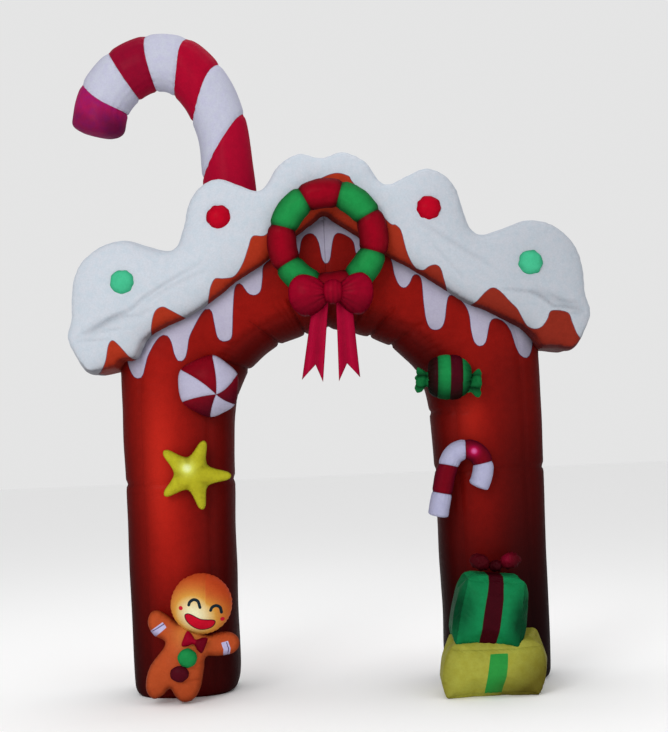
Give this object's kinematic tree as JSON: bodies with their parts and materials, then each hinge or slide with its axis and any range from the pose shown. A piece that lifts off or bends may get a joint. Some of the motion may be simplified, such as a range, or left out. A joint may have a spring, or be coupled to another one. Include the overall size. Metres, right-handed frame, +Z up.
{
  "type": "inflatable arch",
  "caption": "Blown-up cloth archway to walk through, with an icing-covered gingerbread roof, a candy cane on top and sewn-on festive ornaments on its front.",
  "frame": {"origin": "on the floor, at the middle of the whole object's footprint box", "axes": "+Z up, the decorated front faces -Y, +X is the viewer's right from the front"},
  "size_m": [2.3411, 0.886, 3.0305],
  "materials": {
    "red_body": "matt coated polyester taffeta, red",
    "icing": "matt printed polyester taffeta, icing white over orange",
    "white": "matt polyester taffeta, cool white",
    "crimson": "satin-like polyester taffeta, crimson",
    "green": "matt polyester taffeta, green",
    "gift_green": "matt polyester taffeta, deep green",
    "yellow": "matt polyester taffeta, yellow",
    "ginger": "matt polyester taffeta, gingerbread orange",
    "button": "matt polyester taffeta, dark red"
  },
  "bodies": {
    "root": {"arch_tube": "red_body", "roof": "icing", "gumdrop_outer_left": "green", "gumdrop_inner_left": "crimson", "gumdrop_inner_right": "crimson", "gumdrop_outer_right": "green", "cane_large": "crimson", "wreath": "green", "bow_knot": "crimson", "bow_loop_left": "crimson", "bow_loop_right": "crimson", "bow_tail_left": "crimson", "bow_tail_right": "crimson", "mint_candy": "white", "star": "yellow", "cookie_body": "ginger", "cookie_head": "ginger", "cookie_bow_tie": "crimson", "cookie_button_upper": "green", "cookie_button_lower": "button", "wrapped_candy": "green", "candy_twist_left": "green", "candy_twist_right": "green", "cane_small": "white", "gift_yellow": "yellow", "gift_green": "gift_green", "gift_bow_knot": "crimson", "gift_bow_left": "crimson", "gift_bow_right": "crimson"}
  },
  "joints": []
}
